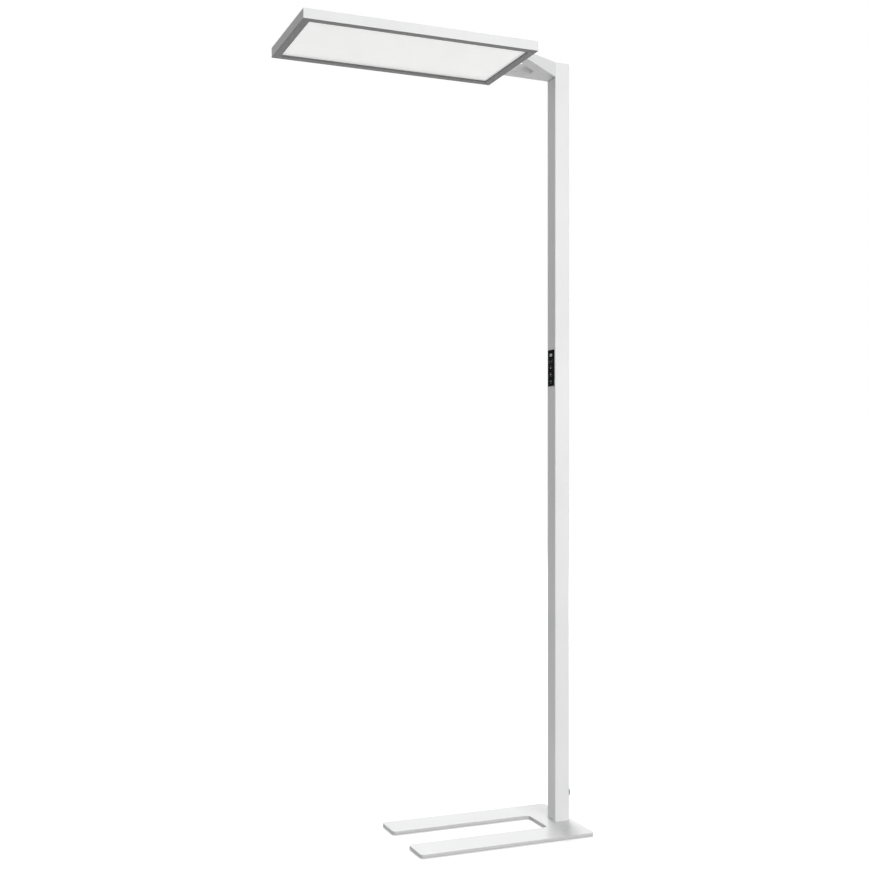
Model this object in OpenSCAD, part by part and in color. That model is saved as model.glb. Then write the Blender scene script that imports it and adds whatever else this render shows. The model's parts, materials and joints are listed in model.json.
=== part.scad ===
// LED office floor lamp: U-shaped base plate, box-section pole, rigid fork and flat light head.
// Millimetres, +Z up. The front, with the control panel, faces -Y.
// The origin is on the floor, under the middle of the lamp's outline.

/* [Overall] */
// Height from the floor to the top of the head
lamp_h = 1950; // [1700:10:2100]

/* [Base plate] */
// Width of the base plate over both prongs
base_w = 284; // [260:2:330]
// Length of the base plate, front to back
base_l = 460; // [400:2:520]
// Thickness of the base plate
base_t = 8; // [6:0.5:12]
// Width of each prong
prong_w = 88; // [60:1:100]
// Length of the closed end, from the rear edge to the slot
bridge_l = 87; // [75:1:140]
// Radius of the plate's corners
base_corner_r = 10; // [4:1:20]
// Distance from the plate's rear edge to the pole's rear face
pole_setback = 9; // [5:0.5:20]

/* [Foot pads] */
// Diameter of a pad
pad_d = 24; // [16:1:32]
// Height that the pads lift the plate off the floor
pad_proud = 1.5; // [1:0.25:3]
// Depth of a pad's pocket in the plate
pad_sink = 1; // [0.5:0.25:2]
// Distance from a pad's centre to the plate's edges
pad_inset = 26; // [20:1:34]

/* [Foot fixing] */
// Height of the block inside the pole's foot
foot_block_h = 42; // [38:1:48]
// Diameter of the base screws
base_screw_d = 6; // [5:0.5:7]
// Length of the base screws
base_screw_l = 32; // [24:1:40]
// Distance between the base screws, side to side
base_screw_dx = 22; // [18:1:24]
// Distance between the base screws, front to back
base_screw_dy = 17; // [14:1:18]
// Diameter of the set screws in the pole's rear wall
set_screw_d = 5; // [3:0.5:5]
// Length of the set screws
set_screw_l = 6; // [5:0.5:7]

/* [Pole] */
// Width of the pole, side to side
pole_w = 45; // [42:0.5:60]
// Depth of the pole, front to back
pole_d = 40; // [38:0.5:55]
// Wall of the pole
pole_wall = 2.5; // [1.5:0.25:3]
// Radius of the pole's outer edges
pole_edge_r = 2; // [0.5:0.25:3]

/* [Fork] */
// Distance from the pole's front face to the head
fork_reach = 110; // [95:1:140]
// Depth of the fork at the pole
fork_root_h = 37; // [32:1:46]
// Depth of the fork at the head
fork_tip_h = 17; // [16:0.5:20]
// Width over the ends of both arms
fork_tip_w = 150; // [140:2:180]
// Width of one arm's end
arm_tip_w = 35; // [32:1:44]
// Length of the notch between the arms
notch_l = 54; // [40:1:60]
// Width of the notch at its closed end
notch_end_w = 24; // [16:1:28]
// Wall of the hollow fork
fork_wall = 4; // [3:0.25:5]
// Thickness of the cover under the fork
fork_cover_t = 1.5; // [1:0.25:2]
// Length of the spigot inside the pole's top
spigot_h = 60; // [52:1:80]
// Wall of the hollow spigot
spigot_wall = 5; // [4:0.5:7]

/* [Head] */
// Length of the head, front to back
head_l = 586; // [500:2:620]
// Width of the head
head_w = 296; // [286:2:320]
// Thickness of the head
head_t = 24; // [23:0.5:28]
// Width of the dark rim under the head
bezel_w = 18.5; // [16:0.5:24]
// Depth of the opal panel behind that rim
bezel_t = 4.5; // [3.5:0.25:5]
// Thickness of the dark strips that line that rim
rim_strip_t = 1; // [0.6:0.1:1.4]
// Wall of the frame rails
rail_wall = 2; // [1.5:0.25:3]
// Width of the rails' upper ledge
ledge_w = 12; // [9:0.5:16]
// Thickness of the rails' upper ledge
ledge_t = 2; // [1.5:0.25:2.5]
// Length of a corner key's leg
corner_key_l = 40; // [25:1:50]
// Thickness of a corner key's leg
corner_key_t = 6; // [4:0.5:7]

/* [Light stack] */
// Thickness of the opal panel below
downlight_panel_t = 1.5; // [1:0.25:2]
// Thickness of the light guide
light_guide_t = 3; // [2:0.5:4]
// Thickness of the reflector sheet
reflector_t = 0.5; // [0.3:0.1:0.8]
// Thickness of the plate between the lower and the upper light
mid_plate_t = 1.5; // [1:0.25:2]
// Space between the rails and the stack's edges
strip_space = 5; // [4:0.5:7]
// Thickness of a circuit board
board_t = 1.6; // [1:0.2:2]
// Height of an LED
led_h = 0.8; // [0.5:0.1:1]
// Side of an LED
led_side = 2.8; // [1.8:0.2:3]
// Distance between LEDs along a board
led_pitch = 15; // [10:1:30]
// Width of one upper LED board
uplight_board_w = 50; // [30:1:56]
// Distance from the head's ends to the upper LED boards
uplight_board_end = 70; // [62:1:100]

/* [Head top] */
// Thickness of the top cover
top_cover_t = 1.5; // [1:0.25:2]
// Distance from the head's sides to the channels' centre lines
channel_inset = 46.5; // [43:0.5:50]
// Width of a channel
channel_w = 24; // [16:1:26]
// Depth of a channel below the top
channel_depth = 6; // [4:0.5:7]
// Wall of a channel
channel_wall = 1; // [0.8:0.1:1.5]
// Distance from the head's ends to the channels and the bright panel
top_end = 29; // [26:1:45]
// Distance from the head's sides to the bright panel in the top
uplight_inset = 72; // [70:1:83]
// Width of that panel's hidden rim
uplight_rim = 5; // [3:0.5:5.5]
// Thickness of that panel's hidden rim
uplight_rim_t = 2; // [1:0.25:2]

/* [Control panel] */
// Height of the panel's centre above the floor
panel_z = 1170; // [900:10:1300]
// Width of the black plate
panel_w = 34; // [33:0.5:37]
// Height of the black plate
panel_h = 93; // [91:0.5:105]
// Thickness of the black plate
panel_t = 1.5; // [1:0.25:2.5]
// Overlap of the black plate on the pole, all round
panel_lip = 2; // [1.5:0.25:2.5]
// Width of the display
display_w = 14; // [10:0.5:15]
// Height of the display
display_h = 7; // [5:0.2:8]
// Distance from the plate's top to the display's centre
display_drop = 13; // [12:0.25:15]
// Diameter of a small key
small_key_d = 8; // [6:0.2:8.4]
// Distance between the small keys
small_key_gap = 13.8; // [12.5:0.1:14]
// Distance from the plate's top to the small keys
small_key_drop = 30.5; // [28:0.5:32]
// Diameter of a large key
large_key_d = 10.6; // [8:0.2:11]
// Distance from the plate's top to the first large key
large_key_drop = 45.5; // [44:0.25:47]
// Distance between the large keys
large_key_pitch = 17.7; // [15:0.1:18]
// Travel of a key
key_travel = 0.6; // [0.3:0.05:0.8]
// Height that a key stands over the plate
key_proud = 0.3; // [0.1:0.05:0.6]
// Gap round a key
key_gap = 0.2; // [0.12:0.01:0.3]
// Depth of the control housing
housing_d = 13; // [12:0.5:15]
// Wall of the control housing
housing_wall = 1.5; // [1:0.1:1.8]
// Distance from the plate's back to the control board
board_depth = 6.5; // [6:0.25:7]

/* [Power inlet] */
// Height of the inlet's centre above the floor
inlet_z = 80; // [75:1:120]
// Width of the inlet's flange
inlet_w = 40; // [36:0.5:41]
// Height of the inlet's flange
inlet_h = 23; // [22.5:0.5:30]
// Thickness of the inlet's flange
inlet_t = 3; // [2:0.25:4]
// Width of the inlet's body inside the pole
inlet_body_w = 29; // [27.5:0.25:33]
// Height of the inlet's body inside the pole
inlet_body_h = 20; // [19.5:0.25:21]
// Depth of the inlet's body inside the pole
inlet_body_d = 20; // [18:0.5:22]

/* [Driver] */
// Height of the driver's lower end above the floor
driver_z = 450; // [300:10:600]
// Length of the driver
driver_l = 260; // [180:5:320]
// Width of the driver
driver_w = 30; // [20:0.5:32]
// Depth of the driver
driver_d = 18; // [14:0.5:20]
// Length of the driver's fixing tabs
driver_tab_l = 14; // [12:0.5:20]
// Diameter of the driver screws
driver_screw_d = 4; // [3:0.5:5]

/* [Hidden] */
$fn = 48;
cut = 1;            // how far a cut, or a joining block, runs past a face
fit = 0.1;          // clearance between fixed pieces
thread_fit = 0.05;  // clearance of a screw in its thread
slack = 0.2;        // clearance between sheets and frames

overall_d = pole_setback + pole_d + fork_reach + head_l;
base_rear_y = overall_d / 2;
base_front_y = base_rear_y - base_l;
pole_rear_y = base_rear_y - pole_setback;
pole_y = pole_rear_y - pole_d / 2;
pole_front_y = pole_rear_y - pole_d;
head_rear_y = pole_front_y - fork_reach;
head_front_y = head_rear_y - head_l;
head_y = (head_rear_y + head_front_y) / 2;
base_z0 = pad_proud;
base_z1 = base_z0 + base_t;

// Foot
pole_in_w = pole_w - 2 * pole_wall;
pole_in_d = pole_d - 2 * pole_wall;
pole_in_rear_y = pole_rear_y - pole_wall;
pole_in_front_y = pole_front_y + pole_wall;
pad_places = [
    for (side = [-1, 1]) each [
        [side * (base_w / 2 - pad_inset), base_rear_y - pad_inset],
        [side * (base_w / 2 - prong_w / 2), base_front_y + pad_inset]
    ]
];
base_screw_places = [
    for (x = [-1, 1], y = [-1, 1]) [x * base_screw_dx / 2, pole_y + y * base_screw_dy / 2]
];
foot_set_screw_zs = [base_z1 + foot_block_h / 3, base_z1 + foot_block_h * 2 / 3];

// Fork
fork_under_root_z = lamp_h - fork_root_h;
fork_under_tip_z = lamp_h - fork_tip_h;
arm_x = fork_tip_w / 2 - arm_tip_w / 2;
fork_plan = [
    [pole_w / 2, pole_front_y],
    [-pole_w / 2, pole_front_y],
    [-fork_tip_w / 2, head_rear_y],
    [arm_tip_w - fork_tip_w / 2, head_rear_y],
    [-notch_end_w / 2, head_rear_y + notch_l],
    [notch_end_w / 2, head_rear_y + notch_l],
    [fork_tip_w / 2 - arm_tip_w, head_rear_y],
    [fork_tip_w / 2, head_rear_y]
];
cover_ledge = fork_wall / 2;
spigot_w = pole_in_w - 2 * fit;
spigot_d = pole_in_d - 2 * fit;
wire_window_w = 16;
wire_window_h = 18;
wire_window_z = lamp_h - fork_root_h / 2;
fork_set_screw_zs = [lamp_h - spigot_h / 3, lamp_h - spigot_h * 2 / 3];

// Head, from the bottom up
head_z0 = lamp_h - head_t;
rail_lip_w = bezel_w - rim_strip_t - fit;
downlight_z = head_z0 + bezel_t;
light_guide_z = downlight_z + downlight_panel_t;
reflector_z = light_guide_z + light_guide_t;
mid_plate_z = reflector_z + reflector_t;
upper_z = mid_plate_z + mid_plate_t;
cover_z = lamp_h - top_cover_t;
ledge_z = cover_z - ledge_t;
arm_z = (upper_z + ledge_z) / 2;
stack_w = head_w - 2 * rail_wall - 2 * strip_space;
stack_l = head_l - 2 * rail_wall - 2 * strip_space;
inner_w = head_w - 2 * rail_wall;
inner_l = head_l - 2 * rail_wall;
top_l = head_l - 2 * top_end;
channel_x = head_w / 2 - channel_inset;
uplight_w = head_w - 2 * uplight_inset;
rail_in_y = head_rear_y - rail_wall;
head_screw_d = 4;
head_screw_head_d = 7;
head_screw_head_t = 2.4;
head_screw_inset = 7;
head_screw_xs = [
    for (side = [-1, 1]) each [
        side * (fork_tip_w / 2 - head_screw_inset),
        side * (fork_tip_w / 2 - arm_tip_w + head_screw_inset)
    ]
];
terminal_size = [26, 18, 8];
terminal_gap = 15;
terminal_y = rail_in_y - terminal_gap;

// Leads
lead_sides = 8;
head_lead_d = 4;
mains_lead_d = 5;
control_lead_d = 3;
grommet_d = 7;
grommet_flange_d = 8.4;
grommet_flange_t = 1;

// Control panel, as heights above the floor and depths behind the pole's front face
panel_top_z = panel_z + panel_h / 2;
display_z = panel_top_z - display_drop;
small_key_z = panel_top_z - small_key_drop;
large_key_z = panel_top_z - large_key_drop;
board_y = pole_front_y + board_depth;
window_w = panel_w - 2 * panel_lip;
window_h = panel_h - 2 * panel_lip;
housing_w = window_w - 2 * slack;
housing_h = window_h - 2 * slack;
board_w = housing_w - 2 * housing_wall - 2 * slack;
board_h = housing_h - 2 * housing_wall - 2 * slack;
collar_rim = 1.2;
collar_t = 1;
collar_room = 1.4;
stem_d = 3;
stem_in = 0.8;
stem_room = 0.3;
switch_front = collar_t + key_travel + collar_room;
stem_end = switch_front + stem_in;
switch_bore = stem_in + key_travel + stem_room;
switch_side = 6;
display_rim = 1.2;
board_screw_d = 2;
board_screw_head_d = 3.8;
board_screw_head_t = 1.2;
post_d = 4.6;
board_screw_inset = 2.7;
board_screw_places = [
    for (x = [-1, 1], z = [-1, 1])
        [x * (board_w / 2 - board_screw_inset), panel_z + z * (board_h / 2 - board_screw_inset)]
];
KEYS = [
    [-small_key_gap / 2, small_key_z, small_key_d],
    [small_key_gap / 2, small_key_z, small_key_d],
    [0, large_key_z, large_key_d],
    [0, large_key_z - large_key_pitch, large_key_d],
    [0, large_key_z - 2 * large_key_pitch, large_key_d]
];
control_lead_hole = [-6, panel_z - 8];

// Inlet, a landscape three-pin appliance inlet
socket_w = 24.6;
socket_h = 16.6;
socket_depth = 17;
socket_chamfer = 4;
inlet_corner_r = inlet_h / 2 - 2;
pin_size = [2, 4];
pin_gap = 14;
earth_rise = 4;
pin_recess = 3;
pin_tab = 5;
PINS = [[-pin_gap / 2, -earth_rise / 2], [pin_gap / 2, -earth_rise / 2], [0, earth_rise / 2]];
inlet_back_y = pole_rear_y - inlet_body_d;

// Driver
carrier_t = 1.5;
carrier_flange = 10;
carrier_end = 6;
driver_tab_t = 2;
driver_back_y = pole_in_rear_y - fit - carrier_t;
driver_mid_y = driver_back_y - driver_d / 2;
driver_top_z = driver_z + driver_l;
driver_screw_zs = [driver_z - driver_tab_l / 2, driver_top_z + driver_tab_l / 2];
driver_screw_head_d = 7;
driver_screw_head_t = 2;

// Routes of the three leads inside the pole and the fork
mains_lead_y = inlet_back_y - pin_tab - mains_lead_d;
mains_route = [
    [0, inlet_back_y, inlet_z - 6],
    [0, inlet_back_y - 4, inlet_z - 6],
    [0, mains_lead_y + 2, inlet_z - 4],
    [0, mains_lead_y, inlet_z + 4],
    [0, mains_lead_y, driver_z - 90],
    [0, (mains_lead_y + driver_mid_y) / 2, driver_z - 55],
    [0, driver_mid_y, driver_z - 25],
    [0, driver_mid_y, driver_z]
];
control_route = [
    [-6, driver_mid_y, driver_top_z],
    [-6, driver_mid_y, driver_top_z + 25],
    [-6, pole_y, driver_top_z + 55],
    [-6, pole_y, control_lead_hole[1] - 12],
    [-6, pole_y - 2, control_lead_hole[1] - 4],
    [-6, pole_front_y + housing_d + 2, control_lead_hole[1]],
    [-6, board_y + board_t, control_lead_hole[1]]
];
head_route = [
    [6, driver_mid_y, driver_top_z],
    [6, driver_mid_y, driver_top_z + 25],
    [4, pole_y + 3, driver_top_z + 55],
    [4, pole_y + 3, lamp_h - spigot_h],
    [3, pole_y + 2, lamp_h - fork_root_h],
    [2, pole_y - 5, wire_window_z - 3],
    [2, pole_front_y + 2, wire_window_z],
    [6, pole_front_y - 12, wire_window_z + 1],
    [18, head_rear_y + notch_l + 16, arm_z - 5],
    [34, head_rear_y + notch_l - 2, arm_z - 4],
    [47, head_rear_y + notch_l / 2, arm_z - 1.5],
    [arm_x, head_rear_y + 9, arm_z],
    [arm_x, terminal_y, arm_z]
];

// Colours
silver = [0.80, 0.81, 0.82];
end_silver = [0.62, 0.63, 0.64];
plate_silver = [0.86, 0.87, 0.87];
rim_grey = [0.45, 0.46, 0.47];
bare_aluminium = [0.66, 0.67, 0.69];
opal = [0.96, 0.96, 0.95];
acrylic = [0.90, 0.95, 0.96, 0.6];
white = [0.93, 0.93, 0.92];
black = [0.03, 0.03, 0.035];
rubber = [0.10, 0.10, 0.10];
steel = [0.55, 0.56, 0.58];
board_green = [0.12, 0.35, 0.20];
board_white = [0.90, 0.90, 0.88];
lcd = [0.68, 0.74, 0.66];
nickel = [0.75, 0.73, 0.68];

// Outlines and shared shapes

module rounded(size, r) {
    square([size[0] - 2 * r, size[1]], center = true);
    square([size[0], size[1] - 2 * r], center = true);
    for (x = [-1, 1], y = [-1, 1])
        translate([x * (size[0] / 2 - r), y * (size[1] / 2 - r)])
            circle(r);
}

module block(size, centre_bottom) {
    translate(centre_bottom + [-size[0] / 2, -size[1] / 2, 0])
        cube(size);
}

// An outline drawn in X and Z, as seen from the front, that runs back from a given depth
module from_front(place, depth) {
    translate(place + [0, depth, 0])
        rotate([90, 0, 0])
            linear_extrude(depth)
                children();
}

// A rod along Y
module rod_y(place, d, l) {
    translate(place)
        rotate([-90, 0, 0])
            cylinder(h = l, d = d);
}

// A through hole along Y, in a wall of thickness l
module hole_y(place, d, l) {
    rod_y(place - [0, cut, 0], d, l + 2 * cut);
}

// A rod along +Y with a wider head in front of the place given
module headed_rod(place, d, l, head_d, head_t) {
    rod_y(place, d, l);
    rod_y(place - [0, head_t, 0], head_d, head_t);
}

// An outline drawn in Y and Z, run out both ways along X
module across(width) {
    rotate([90, 0, 90])
        linear_extrude(width, center = true)
            children();
}

function unit(v) = v / norm(v);
function left_of(a, b) = let (t = unit(b - a)) [-t[1], t[0]];

// A closed outline, counter-clockwise, moved in by d
function inset(p, d) = [
    for (i = [0:len(p) - 1])
        let (
            n = len(p),
            before = left_of(p[(i + n - 1) % n], p[i]),
            after = left_of(p[i], p[(i + 1) % n])
        )
        p[i] + d * (before + after) / (1 + before * after)
];

function heading(p, i) = unit(p[min(i + 1, len(p) - 1)] - p[max(i - 1, 0)]);
function carried(side, along) = unit(side - (side * along) * along);
function sides_along(p, i, side) =
    i == len(p) ? [] : let (s = carried(side, heading(p, i))) concat([s], sides_along(p, i + 1, s));

// A lead swept along its route
module lead(route, d) {
    last = len(route) - 1;
    sides = sides_along(route, 0, [1, 0, 0]);
    points = [
        for (i = [0:last], k = [0:lead_sides - 1])
            let (a = 360 * k / lead_sides)
            route[i] + d / 2 * (cos(a) * sides[i] + sin(a) * cross(heading(route, i), sides[i]))
    ];
    walls = [
        for (i = [0:last - 1], k = [0:lead_sides - 1])
            let (
                a = i * lead_sides + k,
                b = i * lead_sides + (k + 1) % lead_sides
            )
            each [[a, a + lead_sides, b], [b, a + lead_sides, b + lead_sides]]
    ];
    start = [for (k = [1:lead_sides - 2]) [0, k, k + 1]];
    end = last * lead_sides;
    stop = [for (k = [1:lead_sides - 2]) [end, end + k + 1, end + k]];
    polyhedron(points, concat(start, walls, stop));
}

// Base

module base_outline() {
    slot_w = base_w - 2 * prong_w;
    slot_y = base_rear_y - bridge_l;
    for (side = [-1, 1])
        translate([side * (base_w - prong_w) / 2, (base_front_y + base_rear_y) / 2])
            rounded([prong_w, base_l], base_corner_r);
    translate([0, base_rear_y - bridge_l / 2])
        square([base_w - 2 * base_corner_r, bridge_l], center = true);
    for (side = [-1, 1])
        translate([side * slot_w / 2, slot_y])
            difference() {
                translate([side < 0 ? 0 : -base_corner_r, -base_corner_r])
                    square(base_corner_r);
                translate([-side * base_corner_r, -base_corner_r])
                    circle(base_corner_r);
            }
}

// The cone of a base screw's head, widened by a clearance
module countersink(clear) {
    cylinder(h = base_screw_d / 2 + clear, r1 = base_screw_d + clear, r2 = base_screw_d / 2);
}

module base_plate() {
    color(plate_silver)
        difference() {
            translate([0, 0, base_z0])
                linear_extrude(base_t)
                    base_outline();
            for (p = pad_places)
                translate([p[0], p[1], base_z0 - cut])
                    cylinder(h = cut + pad_sink, d = pad_d + 2 * fit);
            for (p = base_screw_places) {
                translate([p[0], p[1], base_z0 - cut])
                    cylinder(h = base_t + 2 * cut, d = base_screw_d + 4 * fit);
                translate([p[0], p[1], base_z0])
                    countersink(2 * fit);
            }
        }
}

module foot_pads() {
    color(rubber)
        for (p = pad_places)
            translate([p[0], p[1], 0])
                cylinder(h = pad_proud + pad_sink, d = pad_d);
}

module base_screws() {
    drive_d = base_screw_d * 2 / 3;
    drive_depth = base_screw_d / 2;
    color(steel)
        for (p = base_screw_places)
            translate([p[0], p[1], base_z0])
                difference() {
                    union() {
                        countersink(0);
                        cylinder(h = base_screw_l, d = base_screw_d);
                    }
                    translate([0, 0, -cut])
                        cylinder(h = drive_depth + cut, d = drive_d, $fn = 6);
                }
}

// Holes for set screws, driven in from the pole's rear face
module set_screw_holes(zs) {
    for (z = zs)
        rod_y([0, pole_rear_y - set_screw_l - fit, z], set_screw_d + 2 * thread_fit, set_screw_l + cut);
}

module foot_block() {
    color(bare_aluminium)
        difference() {
            block([pole_in_w - 2 * fit, pole_in_d - 2 * fit, foot_block_h], [0, pole_y, base_z1]);
            for (p = base_screw_places)
                translate([p[0], p[1], base_z1 - cut])
                    cylinder(h = base_screw_l - base_t + 2 * cut, d = base_screw_d + 2 * thread_fit);
            set_screw_holes(foot_set_screw_zs);
        }
}

module set_screws(zs) {
    socket_d = set_screw_d / 2;
    for (z = zs)
        difference() {
            rod_y([0, pole_rear_y - set_screw_l, z], set_screw_d, set_screw_l);
            translate([0, pole_rear_y - set_screw_l / 3, z])
                rotate([-90, 0, 0])
                    cylinder(h = set_screw_l, d = socket_d, $fn = 6);
        }
}

module foot_set_screws() {
    color(steel)
        set_screws(foot_set_screw_zs);
}

// Pole and inlet

module pole() {
    color(silver)
        difference() {
            translate([0, pole_y, base_z1])
                linear_extrude(lamp_h - base_z1)
                    difference() {
                        rounded([pole_w, pole_d], pole_edge_r);
                        square([pole_in_w, pole_in_d], center = true);
                    }
            block([window_w, 2 * pole_wall, window_h], [0, pole_front_y, panel_z - window_h / 2]);
            block(
                [inlet_body_w + 2 * slack, 2 * pole_wall, inlet_body_h + 2 * slack],
                [0, pole_rear_y, inlet_z - inlet_body_h / 2 - slack]
            );
            block([pole_in_w, 2 * pole_wall, fork_root_h + cut], [0, pole_front_y, fork_under_root_z]);
            set_screw_holes(concat(foot_set_screw_zs, fork_set_screw_zs));
        }
}

module socket_outline(margin) {
    w = socket_w / 2 + margin;
    h = socket_h / 2 + margin;
    polygon([[-w, -h], [w, -h], [w, h - socket_chamfer], [w - socket_chamfer, h], [socket_chamfer - w, h],
        [-w, h - socket_chamfer]]);
}

module power_inlet() {
    face_y = pole_rear_y + inlet_t;
    color(black)
        difference() {
            union() {
                from_front([0, pole_rear_y, inlet_z], inlet_t)
                    rounded([inlet_w, inlet_h], inlet_corner_r);
                block(
                    [inlet_body_w, inlet_body_d + inlet_t / 2, inlet_body_h],
                    [0, inlet_back_y + (inlet_body_d + inlet_t / 2) / 2, inlet_z - inlet_body_h / 2]
                );
            }
            from_front([0, face_y - socket_depth, inlet_z], socket_depth + cut)
                socket_outline(0);
            for (p = PINS)
                block(
                    [pin_size[0] + 2 * thread_fit, 2 * inlet_body_d, pin_size[1] + 2 * thread_fit],
                    [p[0], inlet_back_y, inlet_z + p[1] - pin_size[1] / 2 - thread_fit]
                );
        }
}

module inlet_pins() {
    pin_l = inlet_body_d + inlet_t - pin_recess + pin_tab;
    color(nickel)
        for (p = PINS)
            block(
                [pin_size[0], pin_l, pin_size[1]],
                [p[0], inlet_back_y - pin_tab + pin_l / 2, inlet_z + p[1] - pin_size[1] / 2]
            );
}

// Fork

module fork_slab(plan, over_root, over_tip, height) {
    intersection() {
        translate([0, 0, lamp_h - spigot_h])
            linear_extrude(spigot_h)
                polygon(plan);
        across(fork_tip_w + 2 * cut)
            polygon([
                [pole_front_y + cut, fork_under_root_z + over_root],
                [head_rear_y - cut, fork_under_tip_z + over_tip],
                [head_rear_y - cut, fork_under_tip_z + over_tip + height],
                [pole_front_y + cut, fork_under_root_z + over_root + height]
            ]);
    }
}

module fork_body() {
    intersection() {
        translate([0, 0, lamp_h - spigot_h])
            linear_extrude(spigot_h)
                polygon(fork_plan);
        across(fork_tip_w + 2 * cut)
            polygon([
                [pole_front_y, fork_under_root_z],
                [head_rear_y, fork_under_tip_z],
                [head_rear_y, lamp_h],
                [pole_front_y, lamp_h]
            ]);
    }
    block([spigot_w, spigot_d, spigot_h], [0, pole_y, lamp_h - spigot_h]);
    block(
        [spigot_w, pole_wall + 2 * cut, fork_root_h - fit],
        [0, pole_front_y + pole_wall / 2, fork_under_root_z + fit]
    );
}

module fork() {
    hollow_w = spigot_w - 2 * spigot_wall;
    hollow_d = spigot_d - 2 * spigot_wall;
    window_d = pole_wall + spigot_wall + fork_wall + 4 * cut;
    window_y = pole_in_front_y + spigot_wall + 2 * cut - window_d / 2;
    color(silver)
        difference() {
            fork_body();
            intersection() {
                translate([0, 0, lamp_h - spigot_h])
                    linear_extrude(spigot_h - fork_wall)
                        polygon(inset(fork_plan, fork_wall));
                across(fork_tip_w)
                    polygon([
                        [pole_front_y, fork_under_root_z - cut],
                        [head_rear_y, fork_under_tip_z - cut],
                        [head_rear_y, lamp_h],
                        [pole_front_y, lamp_h]
                    ]);
            }
            fork_slab(inset(fork_plan, cover_ledge), -fork_cover_t, -fork_cover_t, 2 * fork_cover_t);
            block([hollow_w, hollow_d, spigot_h - fork_wall + cut], [0, pole_y, lamp_h - spigot_h - cut]);
            block([wire_window_w, window_d, wire_window_h], [0, window_y, wire_window_z - wire_window_h / 2]);
            for (x = head_screw_xs)
                hole_y([x, head_rear_y, arm_z], head_screw_d + 2 * thread_fit, fork_wall);
            hole_y([arm_x, head_rear_y, arm_z], head_lead_d + 4 * slack, fork_wall);
            set_screw_holes(fork_set_screw_zs);
        }
}

module fork_cover() {
    color(silver)
        fork_slab(inset(fork_plan, cover_ledge + fit), 0, 0, fork_cover_t);
}

module fork_set_screws() {
    color(steel)
        set_screws(fork_set_screw_zs);
}

module head_screws() {
    screw_l = rail_wall + fork_wall;
    color(steel)
        for (x = head_screw_xs)
            headed_rod([x, rail_in_y, arm_z], head_screw_d, screw_l, head_screw_head_d, head_screw_head_t);
}

module cable_grommet() {
    color(rubber)
        difference() {
            headed_rod([arm_x, rail_in_y, arm_z], grommet_d, rail_wall, grommet_flange_d, grommet_flange_t);
            hole_y(
                [arm_x, rail_in_y - grommet_flange_t, arm_z],
                head_lead_d + 2 * slack,
                rail_wall + grommet_flange_t
            );
        }
}

// Head frame

rail_section = [
    [0, rim_strip_t], [rail_lip_w, rim_strip_t], [rail_lip_w, bezel_t], [rail_wall, bezel_t],
    [rail_wall, ledge_z - head_z0], [ledge_w, ledge_z - head_z0], [ledge_w, cover_z - head_z0],
    [rail_wall, cover_z - head_z0], [rail_wall, head_t], [0, head_t]
];

// A flat flange under the rail and a low wall up to the opal panel
rim_section = [
    [0, 0], [bezel_w, 0], [bezel_w, bezel_t - fit], [bezel_w - rim_strip_t, bezel_t - fit],
    [bezel_w - rim_strip_t, rim_strip_t], [0, rim_strip_t]
];

// A length of one section along X with mitred ends, its outer face on Y = 0 and its inside towards +Y
module mitred(l, section) {
    far = bezel_w + cut;
    difference() {
        across(l)
            polygon(section);
        for (side = [-1, 1])
            translate([side * l / 2, 0, -cut])
                linear_extrude(head_t + 2 * cut)
                    polygon([[0, 0], [-side * far, far], [side * cut, far], [side * cut, 0]]);
    }
}

module head_rail_front() {
    color(end_silver)
        translate([0, head_front_y, head_z0])
            mitred(head_w, rail_section);
}

module head_rail_rear() {
    color(end_silver)
        difference() {
            translate([0, head_rear_y, head_z0])
                rotate([0, 0, 180])
                    mitred(head_w, rail_section);
            for (x = head_screw_xs)
                hole_y([x, rail_in_y, arm_z], head_screw_d + 2 * fit, rail_wall);
            hole_y([arm_x, rail_in_y, arm_z], grommet_d + 2 * fit, rail_wall);
        }
}

module head_rail_left() {
    color(silver)
        translate([-head_w / 2, head_y, head_z0])
            rotate([0, 0, -90])
                mitred(head_l, rail_section);
}

module head_rail_right() {
    color(silver)
        translate([head_w / 2, head_y, head_z0])
            rotate([0, 0, 90])
                mitred(head_l, rail_section);
}

module rim_strips() {
    color(rim_grey)
        for (side = [-1, 1]) {
            translate([0, head_y + side * head_l / 2, head_z0])
                rotate([0, 0, side > 0 ? 180 : 0])
                    mitred(head_w - 2 * fit, rim_section);
            translate([side * head_w / 2, head_y, head_z0])
                rotate([0, 0, side * 90])
                    mitred(head_l - 2 * fit, rim_section);
        }
}

module corner_keys() {
    key_h = ledge_z - upper_z;
    color(bare_aluminium)
        for (x = [-1, 1], y = [-1, 1])
            translate([x * (inner_w / 2 - slack), head_y + y * (inner_l / 2 - slack), upper_z])
                linear_extrude(key_h)
                    polygon([
                        [0, 0], [-x * corner_key_l, 0], [-x * corner_key_l, -y * corner_key_t],
                        [-x * corner_key_t, -y * corner_key_t], [-x * corner_key_t, -y * corner_key_l],
                        [0, -y * corner_key_l]
                    ]);
}

// Light stack

module sheet(w, l, t, z) {
    block([w, l, t], [0, head_y, z]);
}

module downlight_panel() {
    color(opal)
        sheet(stack_w, stack_l, downlight_panel_t, downlight_z);
}

module light_guide() {
    color(acrylic)
        sheet(stack_w, stack_l, light_guide_t, light_guide_z);
}

module reflector() {
    color(white)
        sheet(stack_w, stack_l, reflector_t, reflector_z);
}

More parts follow.
